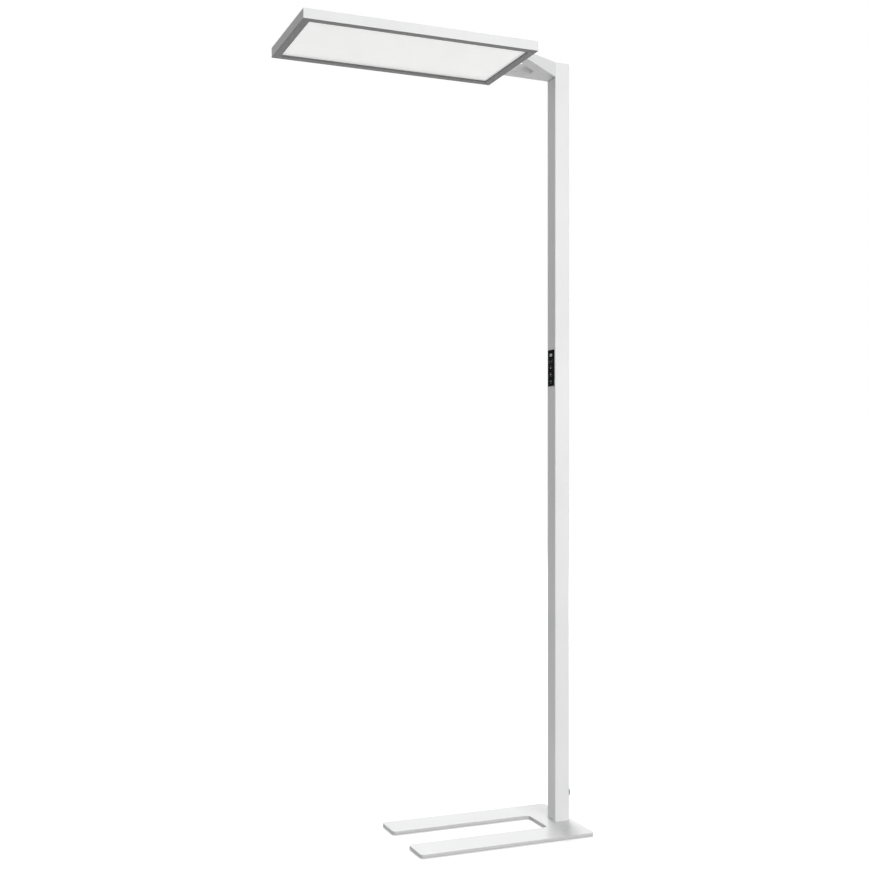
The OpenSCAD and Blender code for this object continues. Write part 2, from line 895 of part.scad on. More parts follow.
module downlight_strips() {
    strip_l = stack_l - 2 * corner_key_l;
    strip_h = light_guide_t + downlight_panel_t;
    led_z = light_guide_z + light_guide_t / 2 - led_side / 2;
    count = floor(strip_l / led_pitch);
    color(board_white)
        for (side = [-1, 1]) {
            block([board_t, strip_l, strip_h], [side * (inner_w / 2 - board_t / 2), head_y, downlight_z]);
            for (i = [1:count])
                block(
                    [2 * led_h, led_side, led_side],
                    [side * (inner_w / 2 - board_t), head_y + (i - (count + 1) / 2) * led_pitch, led_z]
                );
        }
}

module mid_plate() {
    color(bare_aluminium)
        sheet(inner_w - 2 * slack, inner_l - 2 * slack, mid_plate_t, mid_plate_z);
}

module uplight_boards() {
    board_l = head_l - 2 * uplight_board_end;
    board_x = uplight_w / 4;
    count = floor(board_l / led_pitch) - 1;
    color(board_white)
        for (side = [-1, 1]) {
            block([uplight_board_w, board_l, board_t], [side * board_x, head_y, upper_z]);
            for (i = [1:count])
                block(
                    [led_side, led_side, board_t + led_h],
                    [side * board_x, head_y + (i - (count + 1) / 2) * led_pitch, upper_z]
                );
        }
}

module head_terminal() {
    color(white)
        block(terminal_size, [arm_x, terminal_y - terminal_size[1] / 2, upper_z]);
}

// Head top

module uplight_panel() {
    rim_z = cover_z - uplight_rim_t;
    color(opal) {
        sheet(uplight_w + 2 * uplight_rim, top_l + 2 * uplight_rim, uplight_rim_t, rim_z);
        sheet(uplight_w - 2 * slack, top_l - 2 * slack, top_cover_t + uplight_rim_t, rim_z);
    }
}

module channel(side) {
    x = side * channel_x;
    tray_h = channel_depth - top_cover_t + channel_wall;
    color(white)
        difference() {
            block(
                [channel_w + 2 * channel_wall, top_l + 2 * channel_wall, tray_h],
                [x, head_y, cover_z - tray_h]
            );
            block([channel_w, top_l, tray_h], [x, head_y, cover_z - tray_h + channel_wall]);
        }
}

module channel_left() {
    channel(-1);
}

module channel_right() {
    channel(1);
}

module top_cover() {
    through = top_cover_t + 2 * cut;
    color(plate_silver)
        difference() {
            sheet(inner_w - 2 * slack, inner_l - 2 * slack, top_cover_t, cover_z);
            sheet(uplight_w, top_l, through, cover_z - cut);
            for (side = [-1, 1])
                block([channel_w, top_l, through], [side * channel_x, head_y, cover_z - cut]);
        }
}

// Control panel

module panel_plate() {
    color(black)
        difference() {
            block([panel_w, panel_t, panel_h], [0, pole_front_y - panel_t / 2, panel_z - panel_h / 2]);
            block([display_w, 4 * panel_t, display_h], [0, pole_front_y, display_z - display_h / 2]);
            for (k = KEYS)
                rod_y([k[0], pole_front_y - panel_t - cut, k[1]], k[2] + 2 * key_gap, panel_t + 2 * cut);
        }
}

module display() {
    body_w = display_w + 2 * display_rim;
    body_h = display_h + 2 * display_rim;
    lens_d = panel_t - fit + board_depth;
    color(lcd) {
        block([body_w, board_depth, body_h], [0, pole_front_y + board_depth / 2, display_z - body_h / 2]);
        block(
            [display_w - 2 * fit, lens_d, display_h - 2 * fit],
            [0, pole_front_y + board_depth - lens_d / 2, display_z - display_h / 2 + fit]
        );
    }
}

module key(k) {
    cap_l = panel_t + key_proud;
    color(black) {
        rod_y([k[0], pole_front_y - cap_l, k[1]], k[2], cap_l + collar_t);
        rod_y([k[0], pole_front_y, k[1]], k[2] + 2 * collar_rim, collar_t);
        rod_y([k[0], pole_front_y, k[1]], stem_d, stem_end);
    }
}

module key_presence() {
    key(KEYS[0]);
}

module key_daylight() {
    key(KEYS[1]);
}

module key_uplight() {
    key(KEYS[2]);
}

module key_both() {
    key(KEYS[3]);
}

module key_downlight() {
    key(KEYS[4]);
}

module key_switches() {
    switch_d = board_depth - switch_front;
    color(rubber)
        for (k = KEYS)
            difference() {
                block(
                    [switch_side, switch_d, switch_side],
                    [k[0], pole_front_y + switch_front + switch_d / 2, k[1] - switch_side / 2]
                );
                rod_y(
                    [k[0], pole_front_y + switch_front - cut, k[1]],
                    stem_d + 2 * key_gap,
                    switch_bore + cut
                );
            }
}

module control_board() {
    color(board_green)
        difference() {
            block([board_w, board_t, board_h], [0, board_y + board_t / 2, panel_z - board_h / 2]);
            for (p = board_screw_places)
                hole_y([p[0], board_y, p[1]], board_screw_d + 2 * fit, board_t);
        }
}

module board_screws() {
    screw_l = housing_d - housing_wall - board_depth;
    color(steel)
        for (p = board_screw_places)
            headed_rod([p[0], board_y, p[1]], board_screw_d, screw_l, board_screw_head_d, board_screw_head_t);
}

module control_housing() {
    post_y = board_y + board_t;
    floor_d = housing_d - housing_wall;
    floor_y = pole_front_y + floor_d;
    housing_z = panel_z - housing_h / 2;
    color(rubber)
        difference() {
            union() {
                difference() {
                    block([housing_w, housing_d, housing_h], [0, pole_front_y + housing_d / 2, housing_z]);
                    block(
                        [housing_w - 2 * housing_wall, 2 * floor_d, housing_h - 2 * housing_wall],
                        [0, pole_front_y, housing_z + housing_wall]
                    );
                }
                for (p = board_screw_places)
                    rod_y([p[0], post_y, p[1]], post_d, floor_y + housing_wall - post_y);
            }
            for (p = board_screw_places)
                rod_y([p[0], post_y - cut, p[1]], board_screw_d + 2 * thread_fit, floor_y - post_y + cut);
            hole_y(
                [control_lead_hole[0], floor_y, control_lead_hole[1]],
                control_lead_d + 4 * slack,
                housing_wall
            );
        }
}

// Driver

module driver_carrier() {
    carrier_l = driver_l + 2 * driver_tab_l + 2 * carrier_end;
    carrier_z = driver_z - driver_tab_l - carrier_end;
    back_y = pole_in_rear_y - fit;
    outer_w = pole_in_w - 2 * fit;
    color(bare_aluminium)
        difference() {
            block([outer_w, carrier_flange, carrier_l], [0, back_y - carrier_flange / 2, carrier_z]);
            block(
                [outer_w - 2 * carrier_t, 2 * (carrier_flange - carrier_t), carrier_l + 2 * cut],
                [0, back_y - carrier_flange, carrier_z - cut]
            );
            for (z = driver_screw_zs)
                hole_y([0, driver_back_y, z], driver_screw_d + 2 * thread_fit, carrier_t);
        }
}

module driver() {
    color(white)
        difference() {
            union() {
                block([driver_w, driver_d, driver_l], [0, driver_mid_y, driver_z]);
                block(
                    [driver_w, driver_tab_t, driver_l + 2 * driver_tab_l],
                    [0, driver_back_y - driver_tab_t / 2, driver_z - driver_tab_l]
                );
            }
            for (z = driver_screw_zs)
                hole_y([0, driver_back_y - driver_tab_t, z], driver_screw_d + 2 * fit, driver_tab_t);
        }
}

module driver_screws() {
    tab_y = driver_back_y - driver_tab_t;
    screw_l = driver_tab_t + carrier_t;
    color(steel)
        for (z = driver_screw_zs)
            headed_rod([0, tab_y, z], driver_screw_d, screw_l, driver_screw_head_d, driver_screw_head_t);
}

// Leads

module mains_lead() {
    color(rubber)
        lead(mains_route, mains_lead_d);
}

module control_lead() {
    color(rubber)
        lead(control_route, control_lead_d);
}

module head_lead() {
    color(rubber)
        lead(head_route, head_lead_d);
}

base_plate();
foot_pads();
base_screws();
foot_block();
foot_set_screws();
pole();
power_inlet();
inlet_pins();
fork();
fork_cover();
fork_set_screws();
head_screws();
cable_grommet();
head_rail_left();
head_rail_right();
head_rail_front();
head_rail_rear();
rim_strips();
corner_keys();
downlight_panel();
light_guide();
reflector();
downlight_strips();
mid_plate();
uplight_boards();
head_terminal();
uplight_panel();
channel_left();
channel_right();
top_cover();
panel_plate();
display();
key_presence();
key_daylight();
key_uplight();
key_both();
key_downlight();
key_switches();
control_board();
board_screws();
control_housing();
driver();
driver_carrier();
driver_screws();
mains_lead();
control_lead();
head_lead();
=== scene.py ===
"""LED office floor lamp: finishes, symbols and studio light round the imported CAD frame, in metres."""
import json
import math

import bmesh
import bpy
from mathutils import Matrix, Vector

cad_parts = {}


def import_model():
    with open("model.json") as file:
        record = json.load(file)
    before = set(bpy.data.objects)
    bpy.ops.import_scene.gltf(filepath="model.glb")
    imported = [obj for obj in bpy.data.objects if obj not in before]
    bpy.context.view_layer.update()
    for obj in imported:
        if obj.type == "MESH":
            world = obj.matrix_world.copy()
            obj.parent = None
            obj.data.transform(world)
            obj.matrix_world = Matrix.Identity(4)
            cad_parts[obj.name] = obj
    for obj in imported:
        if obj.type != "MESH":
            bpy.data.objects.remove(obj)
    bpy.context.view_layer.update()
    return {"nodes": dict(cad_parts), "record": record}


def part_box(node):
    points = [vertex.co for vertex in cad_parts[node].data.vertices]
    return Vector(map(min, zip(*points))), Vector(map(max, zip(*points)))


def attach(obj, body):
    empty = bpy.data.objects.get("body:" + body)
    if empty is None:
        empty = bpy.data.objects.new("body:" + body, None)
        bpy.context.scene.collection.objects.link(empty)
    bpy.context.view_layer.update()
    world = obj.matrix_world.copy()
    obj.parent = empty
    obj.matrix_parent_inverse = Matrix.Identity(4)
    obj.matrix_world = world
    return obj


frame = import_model()
nodes = frame["nodes"]
MM = 0.001
ROOT = "lamp"


# Material helpers

class Shading:
    """Adds nodes to the node tree of a material or the world."""

    def __init__(self, tree):
        self.tree = tree

    def add(self, kind, inputs=None, **settings):
        """Adds a shader node with these settings and input values."""
        node = self.tree.nodes.new("ShaderNode" + kind)
        for key, value in settings.items():
            setattr(node, key, value)
        for key, value in (inputs or {}).items():
            node.inputs[key].default_value = value
        return node

    def link(self, source, target):
        self.tree.links.new(source, target)

    def place(self, stretch=(1, 1, 1)):
        """The point on the piece, with its pattern drawn out along each axis by these factors."""
        point = self.add("TexCoord").outputs["Object"]
        drawn = self.add("Mapping", {"Scale": [1 / s for s in stretch]})
        self.link(point, drawn.inputs["Vector"])
        return drawn.outputs["Vector"]

    def noise(self, spot, stretch=(1, 1, 1), detail=2.0):
        """Soft noise with spots of this size."""
        node = self.add("TexNoise", {"Scale": 1 / spot, "Detail": detail})
        self.link(self.place(stretch), node.inputs["Vector"])
        return node.outputs["Fac"]

    def flakes(self, size):
        """A random number for each small cell."""
        node = self.add("TexVoronoi", {"Scale": 1 / size})
        self.link(self.place(), node.inputs["Vector"])
        return node.outputs["Color"]

    def span(self, value, low, high, start=0.3, stop=0.7):
        """Spreads a value that runs from start to stop over low to high."""
        node = self.add("MapRange", {"From Min": start, "From Max": stop, "To Min": low, "To Max": high})
        self.link(value, node.inputs["Value"])
        return node.outputs["Result"]

    def mix(self, share, first, second):
        """A colour between two, each a colour or a socket."""
        node = self.add("Mix", data_type="RGBA")
        self.link(share, node.inputs["Factor"])
        for socket, value in ((node.inputs[6], first), (node.inputs[7], second)):
            if isinstance(value, bpy.types.NodeSocket):
                self.link(value, socket)
            else:
                socket.default_value = value
        return node.outputs[2]

    def times(self, first, second):
        node = self.add("Math", operation="MULTIPLY")
        self.link(first, node.inputs[0])
        self.link(second, node.inputs[1])
        return node.outputs[0]

    def edges(self, radius):
        """1 along sharp edges, 0 on flat faces."""
        rounded = self.add("Bevel", {"Radius": radius}, samples=4)
        flat = self.add("NewGeometry")
        dot = self.add("VectorMath", operation="DOT_PRODUCT")
        self.link(rounded.outputs["Normal"], dot.inputs[0])
        self.link(flat.outputs["True Normal"], dot.inputs[1])
        return self.span(dot.outputs["Value"], 1, 0, 0.86, 0.995)

    def inside(self, axis, middle, half, fade):
        """1 within half of the middle along an axis, easing to 0 over the last stretch, fade."""
        split = self.add("SeparateXYZ")
        self.link(self.add("TexCoord").outputs["Object"], split.inputs["Vector"])
        offset = self.add("Math", {1: middle}, operation="SUBTRACT")
        self.link(split.outputs[axis], offset.inputs[0])
        away = self.add("Math", operation="ABSOLUTE")
        self.link(offset.outputs[0], away.inputs[0])
        limits = {"From Min": half, "From Max": half - fade}
        ease = self.add("MapRange", limits, interpolation_type="SMOOTHSTEP")
        self.link(away.outputs[0], ease.inputs["Value"])
        return ease.outputs["Result"]

    def upright(self):
        """1 on upright faces, 0 on level ones."""
        split = self.add("SeparateXYZ")
        self.link(self.add("NewGeometry").outputs["True Normal"], split.inputs["Vector"])
        level = self.add("Math", operation="ABSOLUTE")
        self.link(split.outputs["Z"], level.inputs[0])
        return self.span(level.outputs[0], 1, 0, 0.3, 0.8)


class Finish(Shading):
    """A material built up round its Principled shader, whose constant inputs are set here."""

    def __init__(self, name, **inputs):
        self.material = bpy.data.materials.new(name)
        self.material.use_nodes = True
        super().__init__(self.material.node_tree)
        self.shader = self.tree.nodes["Principled BSDF"]
        for key, value in inputs.items():
            self.shader.inputs[key.replace("_", " ")].default_value = value

    def colour(self, socket):
        self.link(socket, self.shader.inputs["Base Color"])

    def roughness(self, value, low, high):
        self.link(self.span(value, low, high), self.shader.inputs["Roughness"])

    def bump(self, height, depth, strength=1.0):
        """Adds relief of this depth on top of the relief that is there."""
        node = self.add("Bump", {"Strength": strength, "Distance": depth})
        normal = self.shader.inputs["Normal"]
        if normal.links:
            self.link(normal.links[0].from_socket, node.inputs["Normal"])
        self.link(height, node.inputs["Height"])
        self.link(node.outputs["Normal"], normal)


def grey(level, warm=0.0):
    """A linear grey, a touch warm or, below zero, cool."""
    return (level * (1 + warm), level, level * (1 - warm), 1)


# Finishes

def coat(name, level, along=(1, 1, 1), side=None, sheen=(0.42, 0.50), gloss=0.5, relief=0.02 * MM):
    """Satin metallic paint: flakes, orange peel, faint lines along the profile and thin edges.

    A side level paints the upright faces a flat, darker tone of their own: painted shade.
    """
    f = Finish(name, IOR=1.5, Specular_IOR_Level=gloss)
    tone = f.mix(f.span(f.noise(0.22), 0, 1), grey(level * 0.965, -0.004), grey(level * 1.02, -0.002))
    # Painted shade: upright faces take the side level in place of the face tone
    if side:
        tone = f.mix(f.upright(), tone, grey(side, -0.003))
    flecked = f.mix(f.span(f.flakes(0.4 * MM), 0, 0.35, 0.75, 1), tone, grey(min(level * 1.18, 0.95)))
    f.colour(f.mix(f.span(f.edges(0.5 * MM), 0, 0.35, 0, 1), flecked, grey(min(level * 1.12, 0.92))))
    f.roughness(f.noise(9 * MM, detail=4), *sheen)
    f.bump(f.noise(2.5 * MM, along), 0.008 * MM, 0.5)
    f.bump(f.noise(1.2 * MM, detail=3), relief, 0.6)
    return f.material


def gloss_black(name):
    """Black acrylic with a thin gloss, faint smears and dust."""
    f = Finish(name, Specular_IOR_Level=0.0, Coat_Weight=0.07, Coat_Roughness=0.06)
    dust = f.span(f.flakes(0.5 * MM), 0, 0.06, 0.985, 1)
    f.colour(f.mix(dust, grey(0.003), grey(0.25)))
    f.roughness(f.noise(14 * MM, (1, 1, 2.5), 4), 0.05, 0.14)
    f.bump(f.noise(60 * MM), 0.02 * MM, 0.2)
    return f.material


def moulded(name, level, gloss=0.5):
    """Moulded plastic with a fine eroded texture."""
    f = Finish(name, IOR=1.46, Specular_IOR_Level=gloss)
    f.colour(f.mix(f.span(f.noise(8 * MM), 0, 1), grey(level * 0.9), grey(level * 1.1)))
    f.roughness(f.noise(3 * MM, detail=4), 0.45, 0.6)
    f.bump(f.noise(0.5 * MM, detail=4), 0.03 * MM, 0.7)
    return f.material


def rubber(name, level=0.03):
    """Matt rubber with a dusty bloom."""
    f = Finish(name, IOR=1.45)
    f.colour(f.mix(f.span(f.noise(5 * MM, detail=4), 0, 1), grey(level * 0.8), grey(level * 1.6)))
    f.roughness(f.noise(2 * MM), 0.7, 0.9)
    f.bump(f.noise(0.4 * MM, detail=4), 0.04 * MM, 0.8)
    return f.material


def metal(name, level, lines=(1, 1, 1), sheen=(0.25, 0.4), warm=-0.02):
    """Bare or plated metal with drawn lines."""
    f = Finish(name, Metallic=1.0)
    streaks = f.span(f.noise(4 * MM, lines, 4), 0, 1)
    f.colour(f.mix(streaks, grey(level * 0.9, warm), grey(level * 1.05, warm)))
    f.roughness(f.noise(1.5 * MM, lines, 4), *sheen)
    f.bump(f.noise(0.3 * MM, lines, 3), 0.008 * MM, 0.6)
    return f.material


def opal(name, box, level, fade, glow, rim_glow):
    """Opal sheet lit from behind: even in the middle, dimmer over the last stretch to its edges."""
    low, high = box
    middle = (low + high) / 2
    half = (high - low) / 2
    f = Finish(name, IOR=1.49, Base_Color=grey(level, 0.004), Emission_Color=(1, 0.995, 0.985, 1))
    lit = f.times(*(f.inside(axis, middle[axis], half[axis], fade[axis]) for axis in (0, 1)))
    mottled = f.times(f.span(lit, rim_glow, glow, 0, 1), f.span(f.noise(0.12), 0.985, 1.01))
    f.link(mottled, f.shader.inputs["Emission Strength"])
    f.roughness(f.noise(20 * MM), 0.32, 0.42)
    f.bump(f.noise(0.8 * MM, detail=3), 0.01 * MM, 0.5)
    return f.material


def acrylic(name):
    """Clear light guide with its printed dots."""
    f = Finish(name, IOR=1.49, Transmission_Weight=0.9)
    f.colour(f.mix(f.span(f.flakes(2 * MM), 0, 1, 0.4, 0.6), grey(0.86, -0.02), grey(0.95)))
    f.roughness(f.noise(10 * MM), 0.03, 0.1)
    return f.material


def laminate(name):
    """Green circuit board with the weave of its glass cloth."""
    f = Finish(name, IOR=1.5)
    weave = f.noise(0.6 * MM, (1, 1, 3), 3)
    f.colour(f.mix(f.span(weave, 0, 1), (0.01, 0.09, 0.03, 1), (0.03, 0.17, 0.06, 1)))
    f.roughness(weave, 0.3, 0.5)
    f.bump(weave, 0.02 * MM)
    return f.material


def liquid_crystal(name, box):
    """Green-grey display, a little paler round its edge, with a fine dot grid."""
    low, high = box
    middle = (low + high) / 2
    half = (high - low) / 2 - Vector((1.2, 0, 1.2)) * MM
    f = Finish(name, IOR=1.52, Coat_Weight=0.8, Coat_Roughness=0.04)
    core = f.times(f.inside(0, middle.x, half.x, 0.9 * MM), f.inside(2, middle.z, half.z, 0.9 * MM))
    f.colour(f.mix(core, (0.62, 0.72, 0.60, 1), (0.40, 0.51, 0.39, 1)))
    f.roughness(f.noise(2 * MM), 0.12, 0.22)
    f.bump(f.flakes(0.12 * MM), 0.003 * MM, 0.4)
    return f.material


def ink(name, level, warm=0.0):
    """Printed ink with slight unevenness."""
    f = Finish(name, IOR=1.48)
    patches = f.span(f.noise(0.7 * MM, detail=3), 0, 1)
    f.colour(f.mix(patches, grey(level * 0.88, warm), grey(level, warm)))
    f.roughness(f.noise(0.4 * MM), 0.35, 0.55)
    f.bump(f.noise(0.15 * MM), 0.004 * MM, 0.5)
    return f.material


ALONG_X, ALONG_Y, ALONG_Z = (60, 1, 1), (1, 60, 1), (1, 1, 60)
silver_along = {
    "y": coat("silver_coat_lengthwise", 0.74, ALONG_Y),
    "z": coat("silver_coat_upright", 0.77, ALONG_Z),
}
# The axis that each painted piece was drawn or milled along
DRAWN = {
    "pole": "z", "fork": "y", "fork_cover": "y", "head_rail_left": "y", "head_rail_right": "y",
}
DOWN_FADE = (6 * MM, 6 * MM)
UP_FADE = (36 * MM, 40 * MM)
finishes = {
    "end_silver": coat("end_silver", 0.52, ALONG_X),
    "rim_grey": coat("rim_grey", 0.16, sheen=(0.38, 0.5), gloss=0.22),
    # The plate's upright edges get a flat side tone a hair darker than its top: painted shade
    "base_coat": coat("base_coat", 0.63, side=0.62, sheen=(0.28, 0.38), relief=0.03 * MM),
    "top_coat": coat("top_coat", 0.80, ALONG_Y),
    # The channels' upright walls are painted dark grey against the white floor: painted shade in the
    # recessed slots
    "channel_white": coat("channel_white", 0.88, ALONG_Y, side=0.22, sheen=(0.5, 0.6)),
    "opal_down": opal("opal_down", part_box("downlight_panel"), 0.80, DOWN_FADE, 0.32, 0.26),
    "opal_up": opal("opal_up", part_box("uplight_panel"), 0.72, UP_FADE, 0.13, 0.0),
    "clear_acrylic": acrylic("clear_acrylic"),
    "reflector_film": moulded("reflector_film", 0.85),
    "panel_black": gloss_black("panel_black"),
    "key_black": gloss_black("key_black"),
    "lcd_glass": liquid_crystal("lcd_glass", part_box("display")),
    "inlet_black": moulded("inlet_black", 0.008, gloss=0.2),
    "inner_black": moulded("inner_black", 0.03),
    "pad_rubber": rubber("pad_rubber"),
    "screw_steel": metal("screw_steel", 0.55),
    "bare_aluminium": metal("bare_aluminium", 0.66, ALONG_Y),
    "led_board": moulded("led_board", 0.78),
    "control_laminate": laminate("control_laminate"),
    "pin_metal": metal("pin_metal", 0.42, ALONG_Y, (0.25, 0.4), 0.04),
    "white_case": moulded("white_case", 0.75),
    "lead_sheath": rubber("lead_sheath", 0.02),
}
BRIGHT_PRINT = ink("symbol_bright_print", 0.80)
FIGURE_PRINT = ink("symbol_figure_print", 0.50)
LINE_PRINT = ink("symbol_line_print", 0.34)
SEGMENT = ink("segment_dark", 0.02, -0.1)


# CAD nodes: finishes and softened edges

# Radius of the edges of each node that shows, in millimetres
EDGE = {
    "base_plate": 0.7, "pole": 0.2, "fork": 0.5, "fork_cover": 0.2,
    "head_rail_left": 0.3, "head_rail_right": 0.3, "head_rail_front": 0.3, "head_rail_rear": 0.3,
    "rim_strips": 0.2, "top_cover": 0.2, "channel_left": 0.2, "channel_right": 0.2,
    "uplight_panel": 0.3, "downlight_panel": 0.2, "panel_plate": 0.25, "display": 0.12,
    "key_presence": 0.15, "key_daylight": 0.15,
    "key_uplight": 0.15, "key_both": 0.15, "key_downlight": 0.15,
    "power_inlet": 0.3, "inlet_pins": 0.3, "foot_pads": 0.5, "base_screws": 0.15,
    "foot_set_screws": 0.15, "fork_set_screws": 0.15,
}
# The faces of these nodes have holes close to an edge, so they keep their triangles
PIERCED = ("fork", "power_inlet")
WELD_REACH = 0.002 * MM
FLAT_ANGLE = math.radians(0.5)
SHARP_ANGLE = math.radians(40)


def soften(node, radius):
    """Rounds a CAD node's edges for show: one clean skin, a small bevel and flat-faced shading."""
    weld = node.modifiers.new("weld", "WELD")
    weld.merge_threshold = WELD_REACH
    if node.name not in PIERCED:
        merge = node.modifiers.new("merge_flat_faces", "DECIMATE")
        merge.decimate_type = "DISSOLVE"
        merge.angle_limit = FLAT_ANGLE
    bevel = node.modifiers.new("edge_radius", "BEVEL")
    bevel.width = radius
    bevel.segments = 3
    bevel.limit_method = "ANGLE"
    bevel.angle_limit = SHARP_ANGLE
    bevel.use_clamp_overlap = False
    shade = node.modifiers.new("flat_faces", "WEIGHTED_NORMAL")
    shade.weight = 100
    shade.keep_sharp = False


for part in frame["record"]["subparts"]:
    name, slot = part["node"], part["material_slot"]
    finish = silver_along[DRAWN[name]] if name in DRAWN else finishes[slot]
    nodes[name].data.materials.clear()
    nodes[name].data.materials.append(finish)
    if name in EDGE:
        soften(nodes[name], EDGE[name] * MM)


# Symbols and display digits: thin prints on a front face, drawn in X and Z

class Print:
    """Flat shapes of one thickness on a node's front face, drawn from its middle in millimetres."""

    def __init__(self, node, label, thickness, inks):
        low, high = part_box(node)
        self.name = f"{node}_{label}"
        self.middle = (low + high) / 2
        self.depths = (low.y - thickness, low.y)
        self.inks = inks
        self.mesh = bmesh.new()

    def corners(self, line):
        """The front and the back corners over a line of points."""
        x0, z0 = self.middle.x, self.middle.z
        new = self.mesh.verts.new
        return [[new((x0 + x * MM, y, z0 + z * MM)) for x, z in line] for y in self.depths]

    def face(self, corners, ink):
        self.mesh.faces.new(corners).material_index = self.inks.index(ink)

    def fill(self, outline, ink):
        """A closed shape inside an outline."""
        front, back = self.corners(outline)
        self.face(front, ink)
        self.face(back, ink)
        for i in range(len(outline)):
            self.face((front[i - 1], back[i - 1], back[i], front[i]), ink)

    def stroke(self, line, width, ink, closed=False):
        """A band of this width along a line."""
        left, right = sides(line, width, closed)
        left_front, left_back = self.corners(left)
        right_front, right_back = self.corners(right)
        for i in range(0 if closed else 1, len(line)):
            for one, other in ((left_front, right_front), (left_back, right_back),
                               (left_front, left_back), (right_front, right_back)):
                self.face((one[i - 1], one[i], other[i], other[i - 1]), ink)
        if not closed:
            for end in (0, -1):
                self.face((left_front[end], right_front[end], right_back[end], left_back[end]), ink)

    def dot(self, x, z, radius, ink):
        self.fill(circle(radius, 16, (x, z)), ink)

    def done(self, body):
        """Makes the print a piece that rides on a body."""
        bmesh.ops.recalc_face_normals(self.mesh, faces=self.mesh.faces)
        data = bpy.data.meshes.new(self.name)
        self.mesh.to_mesh(data)
        self.mesh.free()
        for ink in self.inks:
            data.materials.append(ink)
        piece = bpy.data.objects.new(self.name, data)
        bpy.context.scene.collection.objects.link(piece)
        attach(piece, body)


def sides(line, width, closed):
    """The left and the right edge of a band along a line, mitred at its corners."""
    points = [Vector(p) for p in line]
    left, right = [], []
    for i, point in enumerate(points):
        before = points[i - 1] if i or closed else point
        after = points[(i + 1) % len(points)] if i < len(points) - 1 or closed else point
        steps = [step.normalized() for step in (point - before, after - point) if step.length > 0]
        normals = [Vector((-step.y, step.x)) for step in steps]
        across = sum(normals, Vector((0, 0))).normalized()
        reach = across * width / 2 / across.dot(normals[0])
        left.append(point + reach)
        right.append(point - reach)
    return left, right


def arc(start, stop, radius, steps, centre=(0, 0)):
    """Points along an arc, in degrees anticlockwise from +X."""
    angles = [math.radians(start + (stop - start) * i / steps) for i in range(steps + 1)]
    return [(centre[0] + radius * math.cos(a), centre[1] + radius * math.sin(a)) for a in angles]


def circle(radius, count, centre=(0, 0)):
    return arc(0, 360, radius, count, centre)[:-1]


def block(width, top, foot):
    """A rectangle between two heights."""
    half = width / 2
    return [(-half, top), (-half, foot), (half, foot), (half, top)]


PRINT_T = 0.02 * MM
RING_LINE = 0.24
# From the edge of a key's hidden collar in to the middle of the ring on the plate over it
RING_INSET = 0.5
# The part of its ring that each key has, in degrees anticlockwise from its right
RINGS = {
    "key_presence": (0, 360), "key_daylight": (0, 360), "key_both": (0, 360),
    "key_uplight": (-14, 194), "key_downlight": (166, 374),
}
# The lamp head of a light symbol: a grey body with bright strips where its light comes out
BODY_W, BODY_H = 6.4, 1.25
STRIP_W, STRIP_H, STRIP_GAP = 6.0, 0.45, 0.08
RAY_GAP = 1.35
# Distance from the head to each row of dots in the rays, and their radius
RAYS = ((0.95, 0.25), (2.1, 0.18))


def key_rings():
    """A ring or part of a ring on the panel's plate round each key."""
    rings = Print("panel_plate", "rings", PRINT_T, (LINE_PRINT,))
    for node, (start, stop) in RINGS.items():
        low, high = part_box(node)
        x, _, z = ((low + high) / 2 - rings.middle) / MM
        line = arc(start, stop, (high.x - low.x) / 2 / MM - RING_INSET, 64, (x, z))
        closed = stop - start == 360
        rings.stroke(line[:-1] if closed else line, RING_LINE, LINE_PRINT, closed)
    rings.done(ROOT)


def light_symbol(node, head_z, ways):
    """A lamp head with rays each way that its light goes, 1 up and -1 down."""
    symbol = Print(node, "symbol", PRINT_T, (LINE_PRINT, BRIGHT_PRINT))
    symbol.fill(block(BODY_W, head_z + BODY_H / 2, head_z - BODY_H / 2), LINE_PRINT)
    for side in (1, -1):
        inner = head_z + side * (BODY_H / 2 + STRIP_GAP)
        outer = inner + side * STRIP_H
        symbol.fill(block(STRIP_W, inner, outer), BRIGHT_PRINT)
        for away, dot in RAYS if side in ways else ():
            for x in (-RAY_GAP, 0, RAY_GAP):
                symbol.dot(x, outer + side * away, dot, BRIGHT_PRINT)
    symbol.done(node)


def presence_symbol(node):
    """A small striding figure."""
    symbol = Print(node, "symbol", PRINT_T, (FIGURE_PRINT,))
    symbol.dot(0.5, 1.85, 0.48, FIGURE_PRINT)
    # The trunk, the legs and the arms, each with its width
    limbs = (
        ([(0.25, 1.15), (-0.1, -0.3)], 0.75),
        ([(0.05, -0.5), (0.8, -1.15), (0.65, -2.2)], 0.4),
        ([(-0.4, -0.5), (-0.8, -1.35), (-1.7, -1.6)], 0.4),
        ([(0.8, 0.75), (1.25, 0.2), (1.95, 0.45)], 0.34),
        ([(-0.3, 0.9), (-1.2, 0.55), (-1.4, -0.3)], 0.34),
    )
    for line, width in limbs:
        symbol.stroke(line, width, FIGURE_PRINT)
    symbol.done(node)


def daylight_symbol(node):
    """A small arched window on a sill."""
    symbol = Print(node, "symbol", PRINT_T, (FIGURE_PRINT,))
    half, spring, foot = 1.3, 0.6, -1.15
    frame_line = [(half, foot), *arc(0, 180, half, 18, (0, spring)), (-half, foot)]
    symbol.stroke(frame_line, 0.3, FIGURE_PRINT)
    symbol.fill(block(3.7, -1.5, -1.8), FIGURE_PRINT)
    symbol.dot(0, 0.35, 0.35, FIGURE_PRINT)
    symbol.done(node)


key_rings()
light_symbol("key_uplight", -0.95, (1,))
light_symbol("key_both", 0.0, (1, -1))
light_symbol("key_downlight", 0.95, (-1,))
presence_symbol("key_presence")
daylight_symbol("key_daylight")

DIGIT_W, DIGIT_H, DIGIT_LINE = 1.95, 4.6, 0.42
DIGIT_PITCH = 2.45
FIRST_DIGIT_X = -3.2
COLON_W, COLON_Z, COLON_DOT = 0.75, 0.8, 0.24
